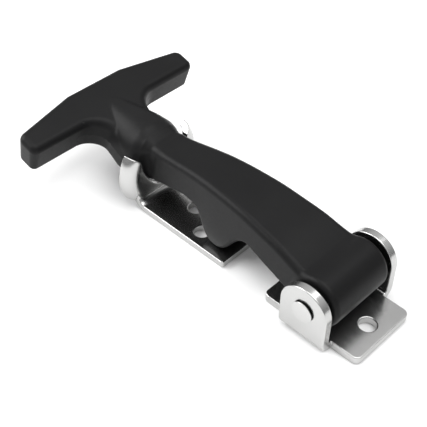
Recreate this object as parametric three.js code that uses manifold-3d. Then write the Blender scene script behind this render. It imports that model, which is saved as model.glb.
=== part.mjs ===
// Rubber T-handle draw latch: one moulded rubber strap that turns on a riveted pin in a
// pressed-steel pivot bracket and hooks behind a pressed-steel keeper.
// Millimetres, +Z up. The origin is on the mounting plane, straight below the pin; +X runs
// from the T-handle towards the pivot bracket's screw flange, and the part is symmetric in Y.

import * as THREE from 'three';
import * as BufferGeometryUtils from 'three/addons/utils/BufferGeometryUtils.js';
import Module from 'manifold-3d';

const wasm = await Module();
wasm.setup();

// ---------------------------------------------------------------- driving dimensions

// pivot bracket: a base plate with two ears bent up at its sides
const BRACKET_T = 3.0;            // sheet thickness
const BRACKET_HALF_LENGTH = 19.0;
const FLANGE_HALF_WIDTH = 13.3;
const FLANGE_CORNER_R = 2.2;
const EAR_OUTER_Y = 17.7;         // outer face of an ear
const EAR_R = 8.9;                // rounded top, and half the ear's width
const EAR_BEND_R = 1.2;           // inside radius of the ear's bend
const BRACKET_HOLE_X = 12.5;
const BRACKET_HOLE_R = 2.9;

// pin: a shank with a low formed head at each end
const PIN_Z = 13.5;
const PIN_R = 3.0;
const PIN_HOLE_R = 3.2;
const PIN_HEAD_R = 3.8;
const PIN_HEAD_H = 0.8;
const PIN_HEAD_ROUND = 0.35;
const PIN_HEAD_GAP = 0.1;         // between a head and the ear's face

// keeper: a base plate bent up into a shallow round cup with a slot for the strap's neck
const KEEPER_T = 2.5;             // sheet thickness
const KEEPER_FRONT_X = -37.5;     // the edge that faces the pivot bracket
const KEEPER_HALF_WIDTH = 12.8;
const KEEPER_CORNER_R = 0.8;
const KEEPER_WALL_X = -77.9;      // front face of the upright wall
const KEEPER_BEND_R = 3.0;        // inside radius of the bend
const KEEPER_HOLE_R = 2.8;
const KEEPER_HOLES = [[-62.5, 0], [-52.8, -7.0], [-52.8, 7.0]];
const CUP_AXIS_Z = 12.5;
const CUP_R = 17.2;               // outside radius of the cup's rim
const CUP_RIM_X = -83.1;
const CUP_MOUTH_ANGLE = 0.605;    // the rim ends this far above the cup's horizontal, radians
const CUP_FLOOR_Z = 3.0;          // the rim's lower ends are cut level here
const SLOT_HALF_WIDTH = 11.0;     // the slot is the lower half of a tall ellipse
const SLOT_HALF_HEIGHT = 18.1;
const SLOT_CENTRE_Z = 23.7;

// rubber barrel and strap
const BARREL_R = 9.3;
const BARREL_HALF_LENGTH = 13.0;
const BARREL_EDGE_R = 1.0;
const BORE_R = 3.2;
const STRAP_END_X = -77.4;        // shoulder that faces the keeper's wall
const STRAP_HALF_WIDTH_AT_KEEPER = 6.4;
const STRAP_HALF_WIDTH_AT_PIVOT = 13.0;
const STRAP_TOP_R = 2.4;          // edge radius along the top
const STRAP_BOTTOM_R = 1.4;       // edge radius along the underside
const SPLIT_X = -66.0;            // where the strap's solid ends and the handle's starts
const SPLIT_GAP = 0.3;
const STRAP_STEPS = 44;
const STRAP_END_STEPS = 8;

// the strap's side view, as [x, z] points on smooth curves
const STRAP_TOP = [
  [-80, 24.4], [-72, 24.9], [-60, 26.4], [-47, 27.8], [-32, 26.8], [-16, 24.5], [-8, 22.2], [0, 21.4],
];
const STRAP_BOTTOM = [
  [-80, 10.2], [-68, 12.4], [-59, 14.4], [-53.5, 12.4], [-50, 5.6], [-45, 3.1], [-40, 5.2], [-35.5, 11.2],
  [-30, 15.3], [-14, 11.1], [0, 7.0],
];

// neck and ball behind the keeper
const BALL_X = -84.2;
const BALL_Z = 16.1;
const BALL_R = 11.2;
const BALL_FACE_X = -80.9;        // flat shoulder that bears on the back of the keeper's wall
const NECK_HALF_WIDTH = 7.0;      // the neck where it passes through the slot
const NECK_HALF_HEIGHT = 8.2;
const NECK_Z = 16.6;
const NECK_ROOT_U = 1.5;          // where the cone behind the ball starts, inside the handle
const NECK_ROOT_R = 5.1;
const NECK_TAPER = 7.6;           // gain in radius from the cone's root to the ball's centre
const NECK_SAG = 0.6;             // how far the cone's middle hangs below its axis
const NECK_SIDES = 36;
const NECK_STEPS = 12;

// T-handle, laid out in a frame that is tilted up by HANDLE_TILT towards its free side
const HANDLE_TILT = THREE.MathUtils.degToRad(15);
const HANDLE_X = -105.0;          // origin of the tilted frame, on the handle's top face
const HANDLE_Z = 27.4;
const HANDLE_T = 12.0;
const HANDLE_HALF_SPAN = 37.6;
const HANDLE_FRONT = -4.0;        // edge towards the strap
const HANDLE_BACK_MIDDLE = 10.1;  // free edge between its two kinks
const HANDLE_BACK_TIP = 5.0;      // free edge at the tips
const HANDLE_KINK_Y = 12.0;
const HANDLE_WEB_Y = 10.0;        // where the fillet to the neck ends
const HANDLE_FILLET_R = 8.0;
const HANDLE_CORNER_R = 2.0;
const HANDLE_EDGE_R = 1.8;

const PAST = 1;                   // how far a cutter runs past the faces that it cuts
const QUARTER = Math.PI / 2;

const STEEL = new THREE.MeshStandardMaterial({ color: 0xd2d2d0, roughness: 0.32, metalness: 1.0 });
const PIN_STEEL = new THREE.MeshStandardMaterial({ color: 0xd8d8d6, roughness: 0.28, metalness: 1.0 });
const RUBBER = new THREE.MeshStandardMaterial({ color: 0x1e1e1f, roughness: 0.62, metalness: 0.0 });

// ---------------------------------------------------------------- solids and meshes

function toSolid(geometry) {
  const bare = geometry.clone();
  bare.deleteAttribute('normal');
  bare.deleteAttribute('uv');
  const merged = BufferGeometryUtils.mergeVertices(bare);
  const mesh = new wasm.Mesh({
    numProp: 3,
    vertProperties: new Float32Array(merged.attributes.position.array),
    triVerts: new Uint32Array(merged.index.array),
  });
  return new wasm.Manifold(mesh);
}

function toMesh(name, solid, material) {
  const data = solid.getMesh();
  const geometry = new THREE.BufferGeometry();
  geometry.setAttribute('position', new THREE.BufferAttribute(new Float32Array(data.vertProperties), 3));
  geometry.setIndex(new THREE.BufferAttribute(new Uint32Array(data.triVerts), 1));
  geometry.computeVertexNormals();
  const mesh = new THREE.Mesh(geometry, material);
  mesh.name = name;
  return mesh;
}

// A shape pushed along an axis from low to high. It is drawn in the other two axes in cyclic
// order: (y, z) for x, (z, x) for y and (x, y) for z.
function prism(shape, axis, low, high, curveSegments = 8) {
  const options = { depth: high - low, bevelEnabled: false, curveSegments };
  const geometry = new THREE.ExtrudeGeometry(shape, options);
  const turn = new THREE.Matrix4();
  if (axis === 'x') turn.set(0, 0, 1, low, 1, 0, 0, 0, 0, 1, 0, 0, 0, 0, 0, 1);
  if (axis === 'y') turn.set(0, 1, 0, 0, 0, 0, 1, low, 1, 0, 0, 0, 0, 0, 0, 1);
  if (axis === 'z') turn.set(1, 0, 0, 0, 0, 1, 0, 0, 0, 0, 1, low, 0, 0, 0, 1);
  geometry.applyMatrix4(turn);
  return toSolid(geometry);
}

function rectangle(x0, x1, y0, y1) {
  const shape = new THREE.Shape();
  shape.moveTo(x0, y0);
  shape.lineTo(x1, y0);
  shape.lineTo(x1, y1);
  shape.lineTo(x0, y1);
  shape.closePath();
  return shape;
}

function roundedRectangle(x0, x1, y0, y1, r) {
  const shape = new THREE.Shape();
  shape.absarc(x1 - r, y0 + r, r, -QUARTER, 0);
  shape.absarc(x1 - r, y1 - r, r, 0, QUARTER);
  shape.absarc(x0 + r, y1 - r, r, QUARTER, 2 * QUARTER);
  shape.absarc(x0 + r, y0 + r, r, 2 * QUARTER, 3 * QUARTER);
  shape.closePath();
  return shape;
}

function disc(x, y, r) {
  const shape = new THREE.Shape();
  shape.absarc(x, y, r, 0, 4 * QUARTER);
  return shape;
}

function holeAlongZ(x, y, r, thickness) {
  return prism(disc(x, y, r), 'z', -PAST, thickness + PAST, 16);
}

// Points [first, second] on an arc, both ends included.
function arcPoints(first, second, r, from, to, steps) {
  const points = [];
  for (let i = 0; i <= steps; i += 1) {
    const a = from + ((to - from) * i) / steps;
    points.push([first + r * Math.cos(a), second + r * Math.sin(a)]);
  }
  return points;
}

// A profile of [along, radius] points that starts and ends on the axis, turned about the
// line along X or Y at height z.
function turned(profile, axis, z, segments) {
  const points = profile.map(([along, radius]) => new THREE.Vector2(radius, along));
  const geometry = new THREE.LatheGeometry(points, segments);
  if (axis === 'x') geometry.rotateZ(-QUARTER);
  geometry.translate(0, 0, z);
  return toSolid(geometry);
}

// Rings of equally many [x, y, z] points, joined in order and closed by a fan at each end.
function loft(rings) {
  const count = rings[0].length;
  const positions = [];
  const triangle = (a, b, c) => positions.push(...a, ...b, ...c);
  const middle = (ring) => [0, 1, 2].map((axis) => ring.reduce((sum, p) => sum + p[axis], 0) / count);
  const first = rings[0];
  const last = rings[rings.length - 1];
  const firstMiddle = middle(first);
  const lastMiddle = middle(last);
  for (let i = 0; i < count; i += 1) {
    const j = (i + 1) % count;
    for (let k = 0; k + 1 < rings.length; k += 1) {
      triangle(rings[k][i], rings[k][j], rings[k + 1][i]);
      triangle(rings[k][j], rings[k + 1][j], rings[k + 1][i]);
    }
    triangle(firstMiddle, first[j], first[i]);
    triangle(lastMiddle, last[i], last[j]);
  }
  const geometry = new THREE.BufferGeometry();
  geometry.setAttribute('position', new THREE.Float32BufferAttribute(positions, 3));
  return toSolid(geometry);
}

// ---------------------------------------------------------------- pivot bracket

// Both ears, their bends and the plate between them, as one bent strip seen along X.
function earStrip() {
  const outer = EAR_BEND_R + BRACKET_T;
  const inside = EAR_OUTER_Y - BRACKET_T;
  const bendY = EAR_OUTER_Y - outer;
  const top = PIN_Z + EAR_R;
  const strip = new THREE.Shape();
  strip.absarc(bendY, outer, outer, -QUARTER, 0);
  strip.lineTo(EAR_OUTER_Y, top);
  strip.lineTo(inside, top);
  strip.absarc(bendY, outer, EAR_BEND_R, 0, -QUARTER, true);
  strip.absarc(-bendY, outer, EAR_BEND_R, -QUARTER, -2 * QUARTER, true);
  strip.lineTo(-inside, top);
  strip.lineTo(-EAR_OUTER_Y, top);
  strip.absarc(-bendY, outer, outer, 2 * QUARTER, 3 * QUARTER);
  strip.closePath();
  return prism(strip, 'x', -EAR_R, EAR_R);
}

// The ears' outline seen along Y: straight sides and a half-round top.
function earOutline() {
  const outline = new THREE.Shape();
  outline.absarc(PIN_Z, 0, EAR_R, -QUARTER, QUARTER);
  outline.lineTo(-PAST, EAR_R);
  outline.lineTo(-PAST, -EAR_R);
  outline.closePath();
  return prism(outline, 'y', -EAR_OUTER_Y - PAST, EAR_OUTER_Y + PAST, 16);
}

function pivotBracket() {
  const plate = roundedRectangle(
    -BRACKET_HALF_LENGTH, BRACKET_HALF_LENGTH, -FLANGE_HALF_WIDTH, FLANGE_HALF_WIDTH, FLANGE_CORNER_R,
  );
  const pinHole = prism(disc(PIN_Z, 0, PIN_HOLE_R), 'y', -EAR_OUTER_Y - PAST, EAR_OUTER_Y + PAST, 16);
  return prism(plate, 'z', 0, BRACKET_T)
    .add(earStrip().intersect(earOutline()))
    .subtract(pinHole)
    .subtract(holeAlongZ(BRACKET_HOLE_X, 0, BRACKET_HOLE_R, BRACKET_T))
    .subtract(holeAlongZ(-BRACKET_HOLE_X, 0, BRACKET_HOLE_R, BRACKET_T));
}

function pivotPin() {
  const shoulder = EAR_OUTER_Y + PIN_HEAD_GAP;
  const end = shoulder + PIN_HEAD_H;
  const round = PIN_HEAD_ROUND;
  const profile = [
    [-end, 0],
    ...arcPoints(round - end, PIN_HEAD_R - round, round, 2 * QUARTER, QUARTER, 3),
    [-shoulder, PIN_HEAD_R],
    [-shoulder, PIN_R],
    [shoulder, PIN_R],
    [shoulder, PIN_HEAD_R],
    ...arcPoints(end - round, PIN_HEAD_R - round, round, QUARTER, 0, 3),
    [end, 0],
  ];
  return turned(profile, 'y', PIN_Z, 32);
}

// ---------------------------------------------------------------- keeper

// A round dish: a flat wall whose edge rolls back to the rim.
function cup() {
  const roll = KEEPER_WALL_X - CUP_RIM_X;
  const flat = CUP_R - roll;
  const profile = [
    [KEEPER_WALL_X - KEEPER_T, 0],
    ...arcPoints(CUP_RIM_X, flat, roll - KEEPER_T, 0, QUARTER, 6),
    ...arcPoints(CUP_RIM_X, flat, roll, QUARTER, 0, 8),
    [KEEPER_WALL_X, 0],
  ];
  return turned(profile, 'x', CUP_AXIS_Z, 72);
}

// A shape drawn in (y, z), pushed right through the upright wall and its rim.
function throughWall(shape) {
  return prism(shape, 'x', CUP_RIM_X - PAST, KEEPER_WALL_X + PAST, 24);
}

function slot() {
  const shape = new THREE.Shape();
  shape.absellipse(0, SLOT_CENTRE_Z, SLOT_HALF_WIDTH, SLOT_HALF_HEIGHT, 2 * QUARTER, 4 * QUARTER);
  shape.closePath();
  return throughWall(shape);
}

// The sector of the cup that is left open above the slot.
function mouth() {
  const reach = CUP_R * 2;
  const y = reach * Math.cos(CUP_MOUTH_ANGLE);
  const z = CUP_AXIS_Z + reach * Math.sin(CUP_MOUTH_ANGLE);
  const shape = new THREE.Shape();
  shape.moveTo(0, CUP_AXIS_Z);
  shape.lineTo(y, z);
  shape.lineTo(-y, z);
  shape.closePath();
  return throughWall(shape);
}

// The base plate and its bend up to the wall, drawn as (z, x).
function keeperPlate() {
  const outer = KEEPER_BEND_R + KEEPER_T;
  const bendX = KEEPER_WALL_X + KEEPER_BEND_R;
  const strip = new THREE.Shape();
  strip.absarc(outer, bendX, outer, 2 * QUARTER, 3 * QUARTER);
  strip.lineTo(outer + PAST, bendX - outer);
  strip.lineTo(outer + PAST, KEEPER_WALL_X);
  strip.absarc(outer, bendX, KEEPER_BEND_R, 3 * QUARTER, 2 * QUARTER, true);
  strip.lineTo(KEEPER_T, KEEPER_FRONT_X);
  strip.lineTo(0, KEEPER_FRONT_X);
  strip.closePath();
  const outline = roundedRectangle(
    CUP_RIM_X, KEEPER_FRONT_X, -KEEPER_HALF_WIDTH, KEEPER_HALF_WIDTH, KEEPER_CORNER_R,
  );
  const sheet = prism(strip, 'y', -KEEPER_HALF_WIDTH, KEEPER_HALF_WIDTH);
  return sheet.intersect(prism(outline, 'z', -PAST, CUP_R));
}

function keeper() {
  const bendTop = KEEPER_BEND_R + KEEPER_T;
  const below = throughWall(rectangle(-CUP_R * 2, CUP_R * 2, -CUP_R, CUP_FLOOR_Z));
  const heel = throughWall(rectangle(-KEEPER_HALF_WIDTH, KEEPER_HALF_WIDTH, -CUP_R, bendTop));
  let solid = cup().subtract(below).subtract(heel).add(keeperPlate()).subtract(slot()).subtract(mouth());
  for (const [x, y] of KEEPER_HOLES) {
    solid = solid.subtract(holeAlongZ(x, y, KEEPER_HOLE_R, KEEPER_T));
  }
  return solid;
}

// ---------------------------------------------------------------- rubber strap

// Height of a smooth curve through [x, z] points, as a function of x.
function heightAlong(points) {
  const curve = new THREE.SplineCurve(points.map(([x, z]) => new THREE.Vector2(x, z)));
  const fine = curve.getPoints(points.length * 20);
  return (x) => {
    const next = Math.max(1, fine.findIndex((point) => point.x >= x));
    const a = fine[next - 1];
    const b = fine[next];
    return a.y + ((b.y - a.y) * (x - a.x)) / (b.x - a.x);
  };
}

const strapTop = heightAlong(STRAP_TOP);
const strapBottom = heightAlong(STRAP_BOTTOM);

function strapHalfWidth(x) {
  const t = 1 - x / STRAP_END_X;
  return STRAP_HALF_WIDTH_AT_KEEPER + (STRAP_HALF_WIDTH_AT_PIVOT - STRAP_HALF_WIDTH_AT_KEEPER) * t;
}

// One cross-section: a rectangle with rounded edges, larger along the top.
function strapRing(x) {
  const top = strapTop(x) - STRAP_TOP_R;
  const bottom = strapBottom(x) + STRAP_BOTTOM_R;
  const topY = strapHalfWidth(x) - STRAP_TOP_R;
  const bottomY = strapHalfWidth(x) - STRAP_BOTTOM_R;
  const section = [
    ...arcPoints(-bottomY, bottom, STRAP_BOTTOM_R, 2 * QUARTER, 3 * QUARTER, 2),
    ...arcPoints(bottomY, bottom, STRAP_BOTTOM_R, 3 * QUARTER, 4 * QUARTER, 2),
    ...arcPoints(topY, top, STRAP_TOP_R, 0, QUARTER, 4),
    ...arcPoints(-topY, top, STRAP_TOP_R, QUARTER, 2 * QUARTER, 4),
  ];
  return section.map(([y, z]) => [x, y, z]);
}

function strapBetween(x0, x1, steps) {
  const rings = [];
  for (let i = 0; i <= steps; i += 1) {
    rings.push(strapRing(x0 + ((x1 - x0) * i) / steps));
  }
  return loft(rings);
}

function strap() {
  const end = BARREL_HALF_LENGTH;
  const round = BARREL_EDGE_R;
  const profile = [
    [-end, 0],
    ...arcPoints(round - end, BARREL_R - round, round, 2 * QUARTER, QUARTER, 3),
    ...arcPoints(end - round, BARREL_R - round, round, QUARTER, 0, 3),
    [end, 0],
  ];
  const bore = prism(disc(PIN_Z, 0, BORE_R), 'y', -end - PAST, end + PAST, 16);
  const barrel = turned(profile, 'y', PIN_Z, 48);
  return strapBetween(SPLIT_X + SPLIT_GAP, 0, STRAP_STEPS).add(barrel).subtract(bore);
}

// ---------------------------------------------------------------- rubber T-handle

// The tilted frame: v across the latch, u away from the strap, w up from the top face.
function handleFrame() {
  const c = Math.cos(HANDLE_TILT);
  const s = Math.sin(HANDLE_TILT);
  return new THREE.Matrix4().set(0, -c, s, HANDLE_X, 1, 0, 0, 0, 0, s, c, HANDLE_Z, 0, 0, 0, 1);
}

// The T's outline in (v, u), drawn inside its rounded edges, which stand proud of it.
function handleOutline() {
  const span = HANDLE_HALF_SPAN - HANDLE_EDGE_R - HANDLE_CORNER_R;
  const front = HANDLE_FRONT + HANDLE_EDGE_R;
  const tip = HANDLE_BACK_TIP - HANDLE_EDGE_R;
  const middle = HANDLE_BACK_MIDDLE - HANDLE_EDGE_R;
  const web = HANDLE_WEB_Y - HANDLE_EDGE_R + HANDLE_FILLET_R;
  const shape = new THREE.Shape();
  shape.absarc(-web, front - HANDLE_FILLET_R, HANDLE_FILLET_R, 0, QUARTER);
  shape.absarc(-span, front + HANDLE_CORNER_R, HANDLE_CORNER_R, 3 * QUARTER, 2 * QUARTER, true);
  shape.absarc(-span, tip - HANDLE_CORNER_R, HANDLE_CORNER_R, 2 * QUARTER, QUARTER, true);
  shape.lineTo(-HANDLE_KINK_Y, middle);
  shape.lineTo(HANDLE_KINK_Y, middle);
  shape.absarc(span, tip - HANDLE_CORNER_R, HANDLE_CORNER_R, QUARTER, 0, true);
  shape.absarc(span, front + HANDLE_CORNER_R, HANDLE_CORNER_R, 0, -QUARTER, true);
  shape.absarc(web, front - HANDLE_FILLET_R, HANDLE_FILLET_R, QUARTER, 2 * QUARTER);
  shape.closePath();
  return shape;
}

function handleBar() {
  const geometry = new THREE.ExtrudeGeometry(handleOutline(), {
    depth: HANDLE_T - 2 * HANDLE_EDGE_R,
    bevelEnabled: true,
    bevelThickness: HANDLE_EDGE_R,
    bevelSize: HANDLE_EDGE_R,
    bevelSegments: 3,
    curveSegments: 8,
  });
  geometry.translate(0, 0, HANDLE_EDGE_R - HANDLE_T);
  geometry.applyMatrix4(handleFrame());
  return toSolid(geometry);
}

// Circles strung along the handle's tilt: a cone out of the bar, which closes as the ball.
function neckAndBall() {
  const frame = handleFrame();
  const ball = new THREE.Vector3(BALL_X, 0, BALL_Z).applyMatrix4(frame.clone().invert());
  const rings = [];
  const addRing = (u, w, radius) => {
    const ring = [];
    for (let i = 0; i < NECK_SIDES; i += 1) {
      const a = (4 * QUARTER * i) / NECK_SIDES;
      const point = new THREE.Vector3(radius * Math.cos(a), u, w + radius * Math.sin(a));
      ring.push(point.applyMatrix4(frame).toArray());
    }
    rings.push(ring);
  };
  for (let i = 0; i <= NECK_STEPS; i += 1) {
    const t = i / NECK_STEPS;
    const sag = NECK_SAG * Math.sin(Math.PI * t) ** 2;
    const radius = Math.min(NECK_ROOT_R + NECK_TAPER * t, BALL_R);
    addRing(NECK_ROOT_U + (ball.y - NECK_ROOT_U) * t, ball.z - sag, radius);
  }
  for (let i = 1; i < NECK_STEPS; i += 1) {
    const a = (QUARTER * i) / NECK_STEPS;
    addRing(ball.y - BALL_R * Math.sin(a), ball.z, BALL_R * Math.cos(a));
  }
  const reach = HANDLE_HALF_SPAN;
  const behindFace = prism(rectangle(-reach, reach, 0, reach), 'x', HANDLE_X - reach, BALL_FACE_X);
  return loft(rings).intersect(behindFace);
}

function neckThroughSlot() {
  const oval = new THREE.Shape();
  oval.absellipse(0, NECK_Z, NECK_HALF_WIDTH, NECK_HALF_HEIGHT, 0, 4 * QUARTER);
  return prism(oval, 'x', BALL_X, STRAP_END_X + PAST, 16);
}

function handle() {
  return handleBar()
    .add(neckAndBall())
    .add(neckThroughSlot())
    .add(strapBetween(STRAP_END_X, SPLIT_X, STRAP_END_STEPS));
}

// ---------------------------------------------------------------- assembly

const latch = new THREE.Group();
latch.add(toMesh('pivot_bracket', pivotBracket(), STEEL));
latch.add(toMesh('pivot_pin', pivotPin(), PIN_STEEL));
latch.add(toMesh('keeper', keeper(), STEEL));
latch.add(toMesh('rubber_strap', strap(), RUBBER));
latch.add(toMesh('rubber_t_handle', handle(), RUBBER));

export default latch;
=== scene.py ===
"""Rubber T-handle draw latch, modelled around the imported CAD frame.

Each visible piece but the pin is the zero level of a distance field written from the latch's
dimensions. The pin is a spun profile. Fields are in millimetres, in the frame's axes, and the
meshes made from them are in metres.
"""
import math

import bmesh
import bpy
import numpy as np
from mathutils import Matrix, Vector


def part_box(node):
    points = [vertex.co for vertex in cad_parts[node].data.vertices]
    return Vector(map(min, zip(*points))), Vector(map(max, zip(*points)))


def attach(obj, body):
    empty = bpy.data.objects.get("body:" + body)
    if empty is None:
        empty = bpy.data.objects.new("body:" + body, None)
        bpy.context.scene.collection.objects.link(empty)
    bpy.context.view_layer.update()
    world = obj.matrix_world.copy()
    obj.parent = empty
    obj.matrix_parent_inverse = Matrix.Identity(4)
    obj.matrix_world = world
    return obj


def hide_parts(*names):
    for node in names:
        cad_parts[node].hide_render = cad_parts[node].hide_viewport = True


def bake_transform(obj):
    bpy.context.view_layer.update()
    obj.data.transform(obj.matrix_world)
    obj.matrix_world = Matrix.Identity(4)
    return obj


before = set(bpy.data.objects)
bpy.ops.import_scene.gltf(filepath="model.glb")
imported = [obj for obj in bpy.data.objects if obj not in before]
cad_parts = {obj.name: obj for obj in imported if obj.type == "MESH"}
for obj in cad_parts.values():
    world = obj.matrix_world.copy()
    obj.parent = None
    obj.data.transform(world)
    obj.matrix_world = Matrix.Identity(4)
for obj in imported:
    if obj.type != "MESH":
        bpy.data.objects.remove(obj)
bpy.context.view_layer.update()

MM = 0.001


def box_mm(node):
    """A CAD node's lowest and highest corners, in millimetres."""
    low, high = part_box(node)
    return np.array(low) / MM, np.array(high) / MM


# ------------------------------------------------------------ dimensions, in millimetres

bracket_low, bracket_high = box_mm("pivot_bracket")
keeper_low, keeper_high = box_mm("keeper")
pin_low, pin_high = box_mm("pivot_pin")
strap_low, strap_high = box_mm("rubber_strap")
handle_low, handle_high = box_mm("rubber_t_handle")

PIN_Z = (pin_low[2] + pin_high[2]) / 2

# pivot bracket
BRACKET_T = 3.0
EAR_OUTER_Y = bracket_high[1]
EAR_R = bracket_high[2] - PIN_Z
EAR_BEND_R = 1.2
FLANGE_HALF_WIDTH = 13.3
FLANGE_CORNER_R = 2.2
BRACKET_HOLE_X = 12.5
BRACKET_HOLE_R = 2.9
PIN_HOLE_R = 3.2

# keeper
KEEPER_T = 2.5
KEEPER_FRONT_X = keeper_high[0]
KEEPER_HALF_WIDTH = 12.8
KEEPER_CORNER_R = 0.8
KEEPER_WALL_X = -77.9
KEEPER_BEND_R = 3.0
KEEPER_HOLE_R = 2.8
KEEPER_HOLES = ((-62.5, 0.0), (-52.8, 7.0))     # x, and y on both sides of the middle
PLATE_INTO_CUP = 1                              # how far the plate's bend runs up into the cup
MOST_SET_BACK = 1.5                             # of the bend, where the cup's wall rolls back
CUP_AXIS_Z = 12.5
CUP_R = keeper_high[1]
CUP_RIM_X = keeper_low[0]
CUP_MOUTH_ANGLE = 0.605
CUP_FLOOR_Z = 3.0
SLOT_HALF_WIDTH = 11.0
SLOT_HALF_HEIGHT = 18.1
SLOT_CENTRE_Z = 23.7

SHEET_EDGE_R = 0.35

# pin
PIN_R = 3.0
PIN_HEAD_R = pin_high[2] - PIN_Z
PIN_END_Y = pin_high[1]
PIN_HEAD_H = 0.8
PIN_HEAD_DOME = 0.1
PIN_HEAD_EDGE_R = 0.15
PIN_GROOVE_DEPTH = 0.45
PIN_HEAD_SIDE = 0.05        # straight part of the head's edge
PIN_GROOVE_START = 0.1      # where the groove begins, behind the rounded edge
PIN_DOME_STEPS = 6
PIN_EDGE_STEPS = 5
PIN_SEGMENTS = 96
GROOVE_MIN_DEPTH = 0.2      # faces this far behind the head's face, and this far inside its
GROOVE_INSET = 0.1          # edge, belong to the groove

# rubber barrel and strap
BARREL_R = 9.3
BARREL_HALF_LENGTH = strap_high[1]
BARREL_EDGE_R = 1.8
BORE_R = 3.05
STRAP_END_X = -77.4
STRAP_HALF_WIDTH_AT_KEEPER = 6.85
STRAP_HALF_WIDTH_AT_PIVOT = 13.3
STRAP_TOP_R = 2.4
STRAP_BOTTOM_R = 1.4
STRAP_END_R = 2.4
STRAP_TOP = (
    (-82, 24.2), (-72, 24.8), (-66, 25.6), (-60, 26.5), (-54, 27.2), (-47, 27.5), (-40, 27.4),
    (-32, 26.9), (-25, 25.9), (-16, 24.4), (-8, 22.2), (0, 21.0),
)
STRAP_BOTTOM = (
    (-82, 10.0), (-68, 12.4), (-59, 14.4), (-53.5, 12.4), (-50, 5.6), (-45, 3.1), (-40, 5.2),
    (-35.5, 11.2), (-33, 13.8), (-30, 15.1), (-26, 14.1), (-20, 12.4), (-14, 10.75), (0, 7.0),
)

# neck and ball
BALL_X = -84.2
BALL_Z = 16.1
BALL_R = 11.2
BALL_FACE_X = -80.9
BALL_FACE_R = 4.0
NECK_HALF_WIDTH = 6.9
NECK_HALF_HEIGHT = 7.7
NECK_Z = 17.0
NECK_CORNER_R = 3.2
CONE_SLOPE = 0.317
CONE_ROUND = 9.6
CONE_SQUARENESS = 0.42
CONE_SQUARE_IN = 6.0
CONE_END_U = 4
CONE_END_R = 1

# T-handle, in its tilted frame: v across, u away from the strap, w up from the top face
HANDLE_TILT = math.radians(15)
HANDLE_X = -105.0
HANDLE_Z = 27.4
HANDLE_T = 12.0
HANDLE_HALF_SPAN = handle_high[1]
HANDLE_FRONT = -4.0
HANDLE_BACK_MIDDLE = 10.4
HANDLE_BACK_TIP = 5.3
HANDLE_KINK_Y = 12.0
HANDLE_WEB_TOP_Y = 8.3
HANDLE_WEB_Y = 10.3
HANDLE_FILLET_R = 8.0
HANDLE_WEB_FLARE_IN = 6     # the depth over which the web widens
HANDLE_WEB_INTO_BAR = 6
HANDLE_WEB_INTO_NECK = 7
HANDLE_CORNER_R = 2.8
HANDLE_TOP_EDGE_R = 2.6
HANDLE_BOTTOM_EDGE_R = 1.4
HANDLE_DRAFT = 0.055
BAR_TO_CONE_TOP_R = 0.3     # the crease at the top face
BAR_TO_CONE_MORE_R = 2.2    # and what it gains by BAR_TO_CONE_FROM + BAR_TO_CONE_OVER below it
BAR_TO_CONE_FROM = 1
BAR_TO_CONE_OVER = 5

# how the parts of the moulding run into one another
KEEPER_CLEARANCE = 0.45
KEEPER_CLEARANCE_EDGE_R = 0.4
BARREL_TO_STRAP_R = 0.9
NECK_REACH = 3.5
HEAD_REACH = 6.5
NECK_FADE_TO_BALL = 0.6     # how fast the neck narrows inside the ball
NECK_FADE_TO_STRAP = 0.35   # and inside the strap, from NECK_FADE_FROM past the ball's face
NECK_FADE_FROM = 2

# spacing of the grids that the meshes are made on
METAL_STEP = 0.27
RUBBER_STEP = 0.5
GRADIENT_STEP = 0.02
TINY = 1e-6
LEAST_SLOPE_SQUARED = 0.05
LONGEST_MOVE = 0.5
SMOOTHING_ROUNDS = 3
PROJECTION_ROUNDS = 3


# ------------------------------------------------------------ distance fields

def length(*parts):
    return np.sqrt(sum(part * part for part in parts))


def both(a, b, r):
    """The space inside a and b, with the edge between them rounded to radius r."""
    corner = length(np.maximum(a + r, 0), np.maximum(b + r, 0))
    return np.minimum(-r, np.maximum(a, b)) + corner


def either(a, b, r):
    """The space inside a or b, with the crease between them filleted to radius r."""
    corner = length(np.maximum(r - a, 0), np.maximum(r - b, 0))
    return np.maximum(r, np.minimum(a, b)) - corner


def soft_either(a, b, reach):
    """The space inside a or b, blended where the two come within reach of each other."""
    near = np.maximum(reach - np.abs(a - b), 0) / reach
    return np.minimum(a, b) - near * near * reach / 4


def smooth_step(t):
    t = np.clip(t, 0, 1)
    return t * t * (3 - 2 * t)


def rounded_rectangle(a, b, half_a, half_b, r):
    qa = np.abs(a) - half_a + r
    qb = np.abs(b) - half_b + r
    return length(np.maximum(qa, 0), np.maximum(qb, 0)) + np.minimum(np.maximum(qa, qb), 0) - r


def bent_sheet(flat, upright, bend_at, inner_r, wall, thickness):
    """A sheet that lies on flat = 0 and turns up at wall: flat is the height above its
    underside, upright the distance towards the bend, and wall the outer face's place."""
    outer = inner_r + thickness
    lying = np.abs(flat - thickness / 2)
    standing = np.abs(upright - wall + thickness / 2)
    turning = np.abs(length(upright - bend_at, flat - outer) - inner_r - thickness / 2)
    distance = np.where(upright < bend_at, lying, np.where(flat > outer, standing, turning))
    return distance - thickness / 2


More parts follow.
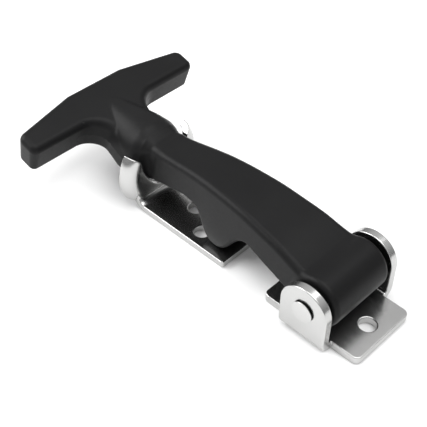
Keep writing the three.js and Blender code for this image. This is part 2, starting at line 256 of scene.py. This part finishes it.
def bracket_field(x, y, z):
    """The base plate with its two ears, its screw holes and the pin's holes."""
    y = np.abs(y)
    bend_at = EAR_OUTER_Y - EAR_BEND_R - BRACKET_T
    strip = bent_sheet(z, y, bend_at, EAR_BEND_R, EAR_OUTER_Y, BRACKET_T)
    ear = np.where(z < PIN_Z, np.abs(x), length(x, z - PIN_Z)) - EAR_R
    ears = both(strip, ear, SHEET_EDGE_R)
    outline = rounded_rectangle(x, y, bracket_high[0], FLANGE_HALF_WIDTH, FLANGE_CORNER_R)
    plate = both(np.abs(z - BRACKET_T / 2) - BRACKET_T / 2, outline, SHEET_EDGE_R)
    solid = np.minimum(ears, plate)
    screw_hole = length(np.abs(x) - BRACKET_HOLE_X, y) - BRACKET_HOLE_R
    pin_hole = length(x, z - PIN_Z) - PIN_HOLE_R
    return both(both(solid, -screw_hole, SHEET_EDGE_R), -pin_hole, SHEET_EDGE_R)


def slot_field(y, z):
    """Inside the ellipse whose lower half is the keeper's slot."""
    a = y / SLOT_HALF_WIDTH
    b = (z - SLOT_CENTRE_Z) / SLOT_HALF_HEIGHT
    size = np.maximum(length(a, b), TINY)
    steepness = np.maximum(length(a / SLOT_HALF_WIDTH, b / SLOT_HALF_HEIGHT), TINY)
    return (size - 1) * size / steepness


def keeper_field(x, y, z):
    """The keeper's plate, bent up into a round cup with rolled sides and a slot."""
    y = np.abs(y)
    half = KEEPER_T / 2
    bend_top = KEEPER_BEND_R + KEEPER_T
    bend_at = KEEPER_WALL_X + KEEPER_BEND_R

    # base plate and bend
    back = KEEPER_WALL_X - KEEPER_T
    roll = KEEPER_WALL_X - CUP_RIM_X
    flat = CUP_R - roll
    past_flat = np.clip(length(y, np.maximum(z, bend_top) - CUP_AXIS_Z) - flat, 0, roll)
    set_back = np.minimum(roll - np.sqrt(roll * roll - past_flat * past_flat), MOST_SET_BACK)
    strip = bent_sheet(z, -x - set_back, -bend_at, KEEPER_BEND_R, -back, KEEPER_T)
    middle_x = (KEEPER_FRONT_X + CUP_RIM_X) / 2
    half_length = (KEEPER_FRONT_X - CUP_RIM_X) / 2
    outline = rounded_rectangle(x - middle_x, y, half_length, KEEPER_HALF_WIDTH, KEEPER_CORNER_R)
    plate = both(both(strip, outline, SHEET_EDGE_R), z - bend_top - PLATE_INTO_CUP, SHEET_EDGE_R)

    # round cup
    radius = length(y, z - CUP_AXIS_Z)
    wall = np.abs(x - KEEPER_WALL_X + half)
    rolled = np.abs(length(x - CUP_RIM_X, radius - flat) - roll + half)
    cup = np.where(radius < flat, wall, rolled) - half
    cup = both(cup, CUP_RIM_X - x, SHEET_EDGE_R)
    floor = np.where(y > KEEPER_HALF_WIDTH, CUP_FLOOR_Z - z, bend_top - z)
    beside = np.maximum(KEEPER_HALF_WIDTH - y, CUP_FLOOR_Z - z)
    kept = np.minimum(np.maximum(floor, bend_top - z), beside)
    cup = both(cup, kept, SHEET_EDGE_R)

    # slot, open mouth and screw holes
    solid = np.minimum(plate, cup)
    mouth = (z - CUP_AXIS_Z) * math.cos(CUP_MOUTH_ANGLE) - y * math.sin(CUP_MOUTH_ANGLE)
    edge = both(mouth, -slot_field(y, z), SHEET_EDGE_R)
    edge = np.where(x < bend_at, edge, -KEEPER_T)
    solid = both(solid, edge, SHEET_EDGE_R)
    for hole_x, hole_y in KEEPER_HOLES:
        hole = length(x - hole_x, y - hole_y) - KEEPER_HOLE_R
        solid = both(solid, -hole, SHEET_EDGE_R)
    return solid


def smooth_height(points):
    """Height and steepness of a smooth curve through (x, z) points, as functions of x."""
    xs = np.array([p[0] for p in points], float)
    zs = np.array([p[1] for p in points], float)
    slopes = np.gradient(zs, xs)
    step = np.diff(xs)

    def at(x):
        x = np.clip(x, xs[0], xs[-1])
        i = np.clip(np.searchsorted(xs, x) - 1, 0, len(xs) - 2)
        t = (x - xs[i]) / step[i]
        rise = zs[i + 1] - zs[i]
        a = slopes[i] * step[i] - rise
        b = rise - slopes[i + 1] * step[i]
        height = zs[i] + t * rise + t * (1 - t) * ((1 - t) * a + t * b)
        steep = (rise + (1 - 2 * t) * ((1 - t) * a + t * b) + t * (1 - t) * (b - a)) / step[i]
        return height, 1 / np.sqrt(1 + steep * steep)

    return at


strap_top = smooth_height(STRAP_TOP)
strap_bottom = smooth_height(STRAP_BOTTOM)


def strap_field(x, y, z):
    """The tapered strap between its two height curves, for y of zero or more."""
    t = 1 - x / STRAP_END_X
    taper = STRAP_HALF_WIDTH_AT_PIVOT - STRAP_HALF_WIDTH_AT_KEEPER
    half_width = np.minimum(STRAP_HALF_WIDTH_AT_KEEPER + taper * t, BARREL_HALF_LENGTH)
    top, top_cos = strap_top(x)
    bottom, bottom_cos = strap_bottom(x)
    above = (z - top) * top_cos
    below = (bottom - z) * bottom_cos
    side = y - half_width
    upper = both(side, above, STRAP_TOP_R)
    lower = both(side, below, STRAP_BOTTOM_R)
    section = np.where(above > below, upper, lower)
    section = np.maximum(section, np.minimum(above, below))
    return both(both(section, STRAP_END_X - x, STRAP_END_R), x, STRAP_BOTTOM_R)


def barrel_field(x, y, z):
    radius = length(x, z - PIN_Z)
    return both(radius - BARREL_R, y - BARREL_HALF_LENGTH, BARREL_EDGE_R)


def to_handle(x, z):
    """u and w of the handle's tilted frame."""
    c = math.cos(HANDLE_TILT)
    s = math.sin(HANDLE_TILT)
    return -c * (x - HANDLE_X) + s * (z - HANDLE_Z), s * (x - HANDLE_X) + c * (z - HANDLE_Z)


def cone_field(x, y, z):
    """The ball, and the cone that runs from it into the handle, before the ball's flat face."""
    ball_u, ball_w = to_handle(BALL_X, BALL_Z)
    u, w = to_handle(x, z)
    along = u - ball_u
    s = np.maximum(along, 0)
    bend = CONE_SLOPE / (2 * CONE_ROUND)
    drop = np.where(s < CONE_ROUND, bend * s * s, CONE_SLOPE * (s - CONE_ROUND / 2))
    steep = np.minimum(2 * bend * s, CONE_SLOPE)
    radius = BALL_R - drop
    square = 1 - CONE_SQUARENESS * smooth_step(s / CONE_SQUARE_IN)
    below = rounded_rectangle(y, w - ball_w, radius, radius, radius * square)
    section = np.where(w > ball_w, length(y, w - ball_w) - radius, below)
    cone = section / np.sqrt(1 + steep * steep)
    cone = both(cone, u - CONE_END_U, CONE_END_R)
    ball = length(y, w - ball_w, along) - BALL_R
    return np.where(along > 0, cone, ball)


def bar_outline(u, v):
    """Plan of the T's bar, drafted edges aside."""
    front = HANDLE_FRONT - u
    end = v - HANDLE_HALF_SPAN
    run = HANDLE_HALF_SPAN - HANDLE_KINK_Y
    drop = HANDLE_BACK_MIDDLE - HANDLE_BACK_TIP
    slant = ((u - HANDLE_BACK_MIDDLE) * run + (v - HANDLE_KINK_Y) * drop) / math.hypot(run, drop)
    back = np.maximum(u - HANDLE_BACK_MIDDLE, slant)
    return both(both(front, back, HANDLE_CORNER_R), end, HANDLE_CORNER_R)


def web_outline(u, v, w):
    """Plan of the web that carries the bar's front edge round into the neck."""
    flare = np.clip(1 + w / HANDLE_WEB_FLARE_IN, 0, 1) * (HANDLE_WEB_Y - HANDLE_WEB_TOP_Y)
    v = v + flare
    centre_u = HANDLE_FRONT - HANDLE_FILLET_R
    centre_v = HANDLE_WEB_Y + HANDLE_FILLET_R
    hollow = HANDLE_FILLET_R - length(u - centre_u, v - centre_v)
    inside = np.where(u > centre_u, hollow, v - HANDLE_WEB_Y)
    corner = np.maximum(v - centre_v, u - HANDLE_FRONT - HANDLE_WEB_INTO_BAR)
    return np.maximum(np.maximum(inside, corner), centre_u - HANDLE_WEB_INTO_NECK - u)


def handle_field(x, y, z):
    """The T-handle with its web, and the cone and ball that carry it."""
    u, w = to_handle(x, z)
    draft = HANDLE_DRAFT * np.maximum(-w, 0)
    cone = cone_field(x, y, z)
    plan = np.minimum(bar_outline(u, y), web_outline(u, y, w)) + draft
    bar = both(both(plan, w, HANDLE_TOP_EDGE_R), -w - HANDLE_T, HANDLE_BOTTOM_EDGE_R)
    depth = np.clip((-w - BAR_TO_CONE_FROM) / BAR_TO_CONE_OVER, 0, 1)
    return either(bar, cone, BAR_TO_CONE_TOP_R + BAR_TO_CONE_MORE_R * depth)


def rubber_field(x, y, z):
    """The whole moulding: barrel, strap, neck, ball and handle, cut clear of the keeper."""
    y = np.abs(y)
    neck = rounded_rectangle(y, z - NECK_Z, NECK_HALF_WIDTH, NECK_HALF_HEIGHT, NECK_CORNER_R)
    into_ball = np.maximum(BALL_FACE_X - x, 0)
    into_strap = np.maximum(x - BALL_FACE_X - NECK_FADE_FROM, 0)
    neck = neck + NECK_FADE_TO_BALL * into_ball + NECK_FADE_TO_STRAP * into_strap
    head = both(handle_field(x, y, z), x - BALL_FACE_X, BALL_FACE_R)
    body = either(strap_field(x, y, z), barrel_field(x, y, z), BARREL_TO_STRAP_R)
    body = soft_either(body, neck, NECK_REACH)
    body = soft_either(body, head, HEAD_REACH)
    body = both(body, KEEPER_CLEARANCE - keeper_field(x, y, z), KEEPER_CLEARANCE_EDGE_R)
    bore = length(x, z - PIN_Z) - BORE_R
    return both(body, -bore, SHEET_EDGE_R)


# ------------------------------------------------------------ meshes from fields

def surface_net(values):
    """Quads around the zero level of values on a grid, with vertices in grid units."""
    cells = tuple(n - 1 for n in values.shape)
    total = np.zeros((*cells, 3))
    count = np.zeros(cells)
    faces = []
    inside = values < 0
    for axis in range(3):
        a, b = (axis + 1) % 3, (axis + 2) % 3
        last = values.shape[axis] - 1
        crossing = np.take(inside, range(last), axis) != np.take(inside, range(1, last + 1), axis)
        index = np.argwhere(crossing)
        following = index + np.eye(3, dtype=int)[axis]
        first = values[tuple(index.T)]
        second = values[tuple(following.T)]
        point = index.astype(float)
        point[:, axis] += first / (first - second)
        corners = []
        for back_a, back_b in ((1, 1), (0, 1), (0, 0), (1, 0)):
            cell = index.copy()
            cell[:, a] -= back_a
            cell[:, b] -= back_b
            np.add.at(total, tuple(cell.T), point)
            np.add.at(count, tuple(cell.T), 1)
            corners.append(np.ravel_multi_index(tuple(cell.T), cells))
        quad = np.stack(corners, 1)
        quad[first >= 0] = quad[first >= 0][:, ::-1]
        faces.append(quad)
    used = count.ravel() > 0
    number = np.cumsum(used) - 1
    vertices = total.reshape(-1, 3)[used] / count.ravel()[used, None]
    return vertices, number[np.concatenate(faces)]


def gradient(field, points, h=GRADIENT_STEP):
    """A field's slope at each point, by central differences."""
    parts = []
    for axis in range(3):
        step = np.eye(3)[axis] * h
        ahead = field(*(points + step).T)
        behind = field(*(points - step).T)
        parts.append((ahead - behind) / (2 * h))
    return np.stack(parts, 1)


def onto_surface(field, points, rounds):
    """Moves each point along the field's slope towards its zero level."""
    for _ in range(rounds):
        slope = gradient(field, points)
        square = np.maximum((slope * slope).sum(1), LEAST_SLOPE_SQUARED)
        shift = (field(*points.T) / square)[:, None] * slope
        points = points - np.clip(shift, -LONGEST_MOVE, LONGEST_MOVE)
    return points


def relax(points, faces):
    """Moves each vertex halfway to the middle of its neighbours."""
    total = np.zeros_like(points)
    count = np.zeros(len(points))
    for k in range(4):
        here, there = faces[:, k], faces[:, (k + 1) % 4]
        np.add.at(total, here, points[there])
        np.add.at(count, here, 1)
    return (points + total / count[:, None]) / 2


def field_mesh(name, field, low, high, step):
    """A closed, smooth-shaded mesh of a field's zero level inside a box."""
    axes = [np.arange(low[k] - 2 * step, high[k] + 3 * step, step) for k in range(3)]
    grid = np.meshgrid(*axes, indexing="ij")
    points, faces = surface_net(field(*grid))
    points = np.array([axis[0] for axis in axes]) + points * step
    for _ in range(SMOOTHING_ROUNDS):
        points = onto_surface(field, relax(points, faces), 1)
    points = onto_surface(field, points, PROJECTION_ROUNDS)
    normals = gradient(field, points)
    normals /= np.maximum(np.linalg.norm(normals, axis=1), 1e-9)[:, None]
    mesh = bpy.data.meshes.new(name)
    mesh.from_pydata((points * MM).tolist(), [], faces.tolist())
    mesh.validate()
    mesh.polygons.foreach_set("use_smooth", [True] * len(mesh.polygons))
    mesh.normals_split_custom_set_from_vertices(normals.tolist())
    piece = bpy.data.objects.new(name, mesh)
    bpy.context.collection.objects.link(piece)
    return piece


def pin_mesh(name):
    """The riveted pin: a shank, and at each end a low domed head with a groove behind it."""
    rim = PIN_END_Y - PIN_HEAD_H
    edge_r = PIN_HEAD_EDGE_R
    groove_r = PIN_HEAD_R - PIN_GROOVE_DEPTH
    half = [(0.0, PIN_END_Y)]
    for i in range(1, PIN_DOME_STEPS + 1):
        r = (PIN_HEAD_R - edge_r) * i / PIN_DOME_STEPS
        half.append((r, PIN_END_Y - PIN_HEAD_DOME * (r / PIN_HEAD_R) ** 2))
    shoulder = half[-1][1] - edge_r
    for i in range(1, PIN_EDGE_STEPS + 1):
        a = math.pi / 2 * (1 - i / PIN_EDGE_STEPS)
        half.append((PIN_HEAD_R - edge_r + edge_r * math.cos(a), shoulder + edge_r * math.sin(a)))
    half.append((PIN_HEAD_R, shoulder - PIN_HEAD_SIDE))
    half.append((groove_r, shoulder - PIN_GROOVE_START))
    half.append((groove_r, rim))
    half.append((PIN_R, rim))
    profile = half + [(r, -y) for r, y in reversed(half)]
    bm = bmesh.new()
    ring = [bm.verts.new((r * MM, y * MM, PIN_Z * MM)) for r, y in profile]
    edges = [bm.edges.new(pair) for pair in zip(ring, ring[1:])]
    centre = (0, 0, PIN_Z * MM)
    bmesh.ops.spin(bm, geom=ring + edges, cent=centre, axis=(0, 1, 0), angle=math.tau, steps=PIN_SEGMENTS)
    bmesh.ops.remove_doubles(bm, verts=bm.verts, dist=1e-7)
    bmesh.ops.recalc_face_normals(bm, faces=bm.faces)
    mesh = bpy.data.meshes.new(name)
    bm.to_mesh(mesh)
    bm.free()
    mesh.polygons.foreach_set("use_smooth", [True] * len(mesh.polygons))
    piece = bpy.data.objects.new(name, mesh)
    bpy.context.collection.objects.link(piece)
    return piece


# ------------------------------------------------------------ materials

NOISE_LOW = 0.3             # nearly all of a noise pattern's values lie between these
NOISE_HIGH = 0.7
RUBBER_SHEEN = 0.115
RUBBER_DARK = (0.0080, 0.0080, 0.0083)
RUBBER_LIGHT = (0.0100, 0.0100, 0.0103)
RUBBER_ROUGHNESS = (0.36, 0.44)
PLATE_DARK = (0.51, 0.51, 0.505)
PLATE_LIGHT = (0.55, 0.55, 0.545)
PIN_DARK = (0.53, 0.53, 0.525)
PIN_LIGHT = (0.57, 0.57, 0.565)
STEEL_ROUGHNESS = 0.22
STEEL_ROUGHNESS_SPREAD = 0.02
# painted shade: near-black colours for the groove behind each pin head, standing in for the shade in that
# gap
GROOVE_PAINTED_SHADE_DARK = (0.02, 0.02, 0.02)
GROOVE_PAINTED_SHADE_LIGHT = (0.035, 0.035, 0.035)
GROOVE_ROUGHNESS = 0.5

def new_material(name):
    material = bpy.data.materials.new(name)
    material.use_nodes = True
    tree = material.node_tree
    shader = tree.nodes["Principled BSDF"]
    return material, tree, shader


def noise(tree, scale, detail, stretch=(1, 1, 1), roughness=0.5):
    """A noise pattern in the piece's own space, scale in features per metre."""
    place = tree.nodes.new("ShaderNodeTexCoord")
    mapping = tree.nodes.new("ShaderNodeMapping")
    mapping.inputs["Scale"].default_value = stretch
    pattern = tree.nodes.new("ShaderNodeTexNoise")
    pattern.inputs["Scale"].default_value = scale
    pattern.inputs["Detail"].default_value = detail
    pattern.inputs["Roughness"].default_value = roughness
    tree.links.new(place.outputs["Object"], mapping.inputs["Vector"])
    tree.links.new(mapping.outputs["Vector"], pattern.inputs["Vector"])
    return pattern.outputs["Fac"]


def spread(tree, value, low, high):
    """Maps a noise value onto low to high."""
    node = tree.nodes.new("ShaderNodeMapRange")
    node.inputs["From Min"].default_value = NOISE_LOW
    node.inputs["From Max"].default_value = NOISE_HIGH
    node.inputs["To Min"].default_value = low
    node.inputs["To Max"].default_value = high
    tree.links.new(value, node.inputs["Value"])
    return node.outputs["Result"]


def colour_between(tree, value, dark, light):
    node = tree.nodes.new("ShaderNodeMix")
    node.data_type = "RGBA"
    node.inputs["A"].default_value = (*dark, 1)
    node.inputs["B"].default_value = (*light, 1)
    tree.links.new(spread(tree, value, 0, 1), node.inputs["Factor"])
    return node.outputs["Result"]


def add_bump(tree, shader, layers):
    """Stacks (value, strength, depth in metres) layers of bump."""
    normal = None
    for value, strength, depth in layers:
        bump = tree.nodes.new("ShaderNodeBump")
        bump.inputs["Strength"].default_value = strength
        bump.inputs["Distance"].default_value = depth
        tree.links.new(value, bump.inputs["Height"])
        if normal:
            tree.links.new(normal, bump.inputs["Normal"])
        normal = bump.outputs["Normal"]
    tree.links.new(normal, shader.inputs["Normal"])


def rubber_material():
    material, tree, shader = new_material("moulded_black_rubber")
    shader.inputs["Specular IOR Level"].default_value = RUBBER_SHEEN
    broad = noise(tree, scale=60, detail=3)
    grain = noise(tree, scale=2600, detail=2)
    pores = noise(tree, scale=900, detail=4, roughness=0.6)
    colour = colour_between(tree, broad, RUBBER_DARK, RUBBER_LIGHT)
    tree.links.new(colour, shader.inputs["Base Color"])
    tree.links.new(spread(tree, pores, *RUBBER_ROUGHNESS), shader.inputs["Roughness"])
    add_bump(tree, shader, ((pores, 0.10, 0.00015), (grain, 0.12, 0.00006)))
    return material


def steel_material(name, dark, light, rough):
    material, tree, shader = new_material(name)
    shader.inputs["Metallic"].default_value = 1.0
    broad = noise(tree, scale=90, detail=3)
    rolled = noise(tree, scale=700, detail=4, stretch=(0.12, 1, 1), roughness=0.6)
    grain = noise(tree, scale=3200, detail=2)
    tree.links.new(colour_between(tree, broad, dark, light), shader.inputs["Base Color"])
    least = rough - STEEL_ROUGHNESS_SPREAD
    most = rough + STEEL_ROUGHNESS_SPREAD
    tree.links.new(spread(tree, rolled, least, most), shader.inputs["Roughness"])
    add_bump(tree, shader, ((rolled, 0.008, 0.00002), (grain, 0.03, 0.00001)))
    return material


# ------------------------------------------------------------ pieces

def finish_piece(piece, body, slot, material, *nodes):
    piece.data.materials.clear()
    piece.data.materials.append(material)
    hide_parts(*nodes)
    if body:
        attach(piece, body)


def paint_shade_in_grooves(pin):
    """Gives the shank and the groove behind each head a near-black material, which is painted shade for
    the gap behind each head.
    """
    pin.data.materials.append(groove_painted_shade)
    for face in pin.data.polygons:
        radius = math.hypot(face.center.x, face.center.z - PIN_Z * MM) / MM
        depth = PIN_END_Y - abs(face.center.y) / MM
        if depth > GROOVE_MIN_DEPTH and radius < PIN_HEAD_R - GROOVE_INSET:
            face.material_index = 1


rubber = rubber_material()
# the pin's groove material is painted shade, not a finish of the steel
groove_painted_shade = steel_material("groove_painted_shade_steel", GROOVE_PAINTED_SHADE_DARK, GROOVE_PAINTED_SHADE_LIGHT, GROOVE_ROUGHNESS)
plated = steel_material("satin_zinc_plate", PLATE_DARK, PLATE_LIGHT, STEEL_ROUGHNESS)
riveted = steel_material("satin_pin_steel", PIN_DARK, PIN_LIGHT, STEEL_ROUGHNESS)

bracket = field_mesh("bracket_plate", bracket_field, bracket_low, bracket_high, METAL_STEP)
finish_piece(bracket, "mount", "plated_steel", plated, "pivot_bracket")

keeper = field_mesh("keeper_cup", keeper_field, keeper_low, keeper_high, METAL_STEP)
finish_piece(keeper, "mount", "plated_steel", plated, "keeper")

pin = pin_mesh("rivet_pin")
finish_piece(pin, "mount", "pin_steel", riveted, "pivot_pin")
# paints shade into the groove behind each pin head
paint_shade_in_grooves(pin)

rubber_low = np.minimum(strap_low, handle_low)
rubber_high = np.maximum(strap_high, handle_high)
moulding = field_mesh("rubber_moulding", rubber_field, rubber_low, rubber_high, RUBBER_STEP)
finish_piece(moulding, None, "black_rubber", rubber, "rubber_strap", "rubber_t_handle")
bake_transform(moulding)


# ------------------------------------------------------------ floor, light and camera

FLOOR_HALF_SIZE = 12.0
FLOOR_DARK = (0.90, 0.90, 0.90)
FLOOR_LIGHT = (0.92, 0.92, 0.92)
FLOOR_DROP = 0.0001                     # keeps the floor just clear of the metal's undersides
LIT_POINT = (-0.045, 0, 0)
WORLD_LOW_GREY = 0.18
WORLD_HIGH_GREY = 0.69
WORLD_HIGH_AT = 0.65                    # height of the direction where the high grey begins
CAMERA_PLACE = (0.10199, -0.16591, 0.22140)
CAMERA_AZIMUTH = math.radians(43.26)    # the camera's direction as seen from the latch
CAMERA_ELEVATION = math.radians(43.49)
CAMERA_ROLL = math.radians(1.44)
CAMERA_LENS = 77.0
CAMERA_SENSOR = 36
CAMERA_CLIP_START = 0.01

def floor_material():
    material, tree, shader = new_material("pale_floor")
    shader.inputs["Roughness"].default_value = 0.9
    shader.inputs["Specular IOR Level"].default_value = 0.1
    tree.links.new(
        colour_between(tree, noise(tree, scale=3, detail=2), FLOOR_DARK, FLOOR_LIGHT),
        shader.inputs["Base Color"],
    )
    return material


def add_floor():
    size = FLOOR_HALF_SIZE
    corners = [(-size, -size, 0), (size, -size, 0), (size, size, 0), (-size, size, 0)]
    mesh = bpy.data.meshes.new("floor")
    mesh.from_pydata(corners, [], [(0, 1, 2, 3)])
    mesh.materials.append(floor_material())
    floor = bpy.data.objects.new("floor", mesh)
    bpy.context.collection.objects.link(floor)
    floor.location.z = -FLOOR_DROP


def add_area_light(name, direction, distance, size, watts):
    """A square softbox that faces the latch from a direction."""
    data = bpy.data.lights.new(name, "AREA")
    data.shape = "SQUARE"
    data.size = size
    data.energy = watts
    light = bpy.data.objects.new(name, data)
    away = Vector(direction).normalized()
    light.location = Vector(LIT_POINT) + away * distance
    light.rotation_euler = away.to_track_quat("Z", "Y").to_euler()
    bpy.context.collection.objects.link(light)


def add_light():
    """A sky that brightens with height, and two soft boxes."""
    world = bpy.data.worlds.new("studio")
    world.use_nodes = True
    background = world.node_tree.nodes["Background"]
    background.inputs["Strength"].default_value = 1.0
    direction = world.node_tree.nodes.new("ShaderNodeTexCoord")
    height = world.node_tree.nodes.new("ShaderNodeSeparateXYZ")
    shade = world.node_tree.nodes.new("ShaderNodeValToRGB")
    low, high = shade.color_ramp.elements
    low.position = 0.0
    low.color = (WORLD_LOW_GREY, WORLD_LOW_GREY, WORLD_LOW_GREY, 1)
    high.position = WORLD_HIGH_AT
    high.color = (WORLD_HIGH_GREY, WORLD_HIGH_GREY, WORLD_HIGH_GREY, 1)
    world.node_tree.links.new(direction.outputs["Generated"], height.inputs["Vector"])
    world.node_tree.links.new(height.outputs["Z"], shade.inputs["Fac"])
    world.node_tree.links.new(shade.outputs["Color"], background.inputs["Color"])
    bpy.context.scene.world = world
    add_area_light("key_softbox", (-0.68, -0.45, 0.58), distance=1.2, size=0.9, watts=13)
    add_area_light("top_softbox", (0.15, 0.1, 1.0), distance=1.3, size=1.2, watts=13)


def add_camera():
    """The photograph's view, built from the camera's azimuth, elevation and roll."""
    back = Vector((
        math.sin(CAMERA_AZIMUTH) * math.cos(CAMERA_ELEVATION),
        -math.cos(CAMERA_AZIMUTH) * math.cos(CAMERA_ELEVATION),
        math.sin(CAMERA_ELEVATION),
    ))
    level = Vector((math.cos(CAMERA_AZIMUTH), math.sin(CAMERA_AZIMUTH), 0))
    upright = back.cross(level)
    right = level * math.cos(CAMERA_ROLL) + upright * math.sin(CAMERA_ROLL)
    up = back.cross(right)
    data = bpy.data.cameras.new("camera")
    data.sensor_width = CAMERA_SENSOR
    data.lens = CAMERA_LENS
    data.clip_start = CAMERA_CLIP_START
    camera = bpy.data.objects.new("camera", data)
    turn = Matrix((right, up, back)).transposed().to_4x4()
    camera.matrix_world = Matrix.Translation(CAMERA_PLACE) @ turn
    bpy.context.collection.objects.link(camera)
    bpy.context.scene.camera = camera


add_floor()
add_light()
add_camera()
bpy.context.scene.view_settings.view_transform = "Standard"
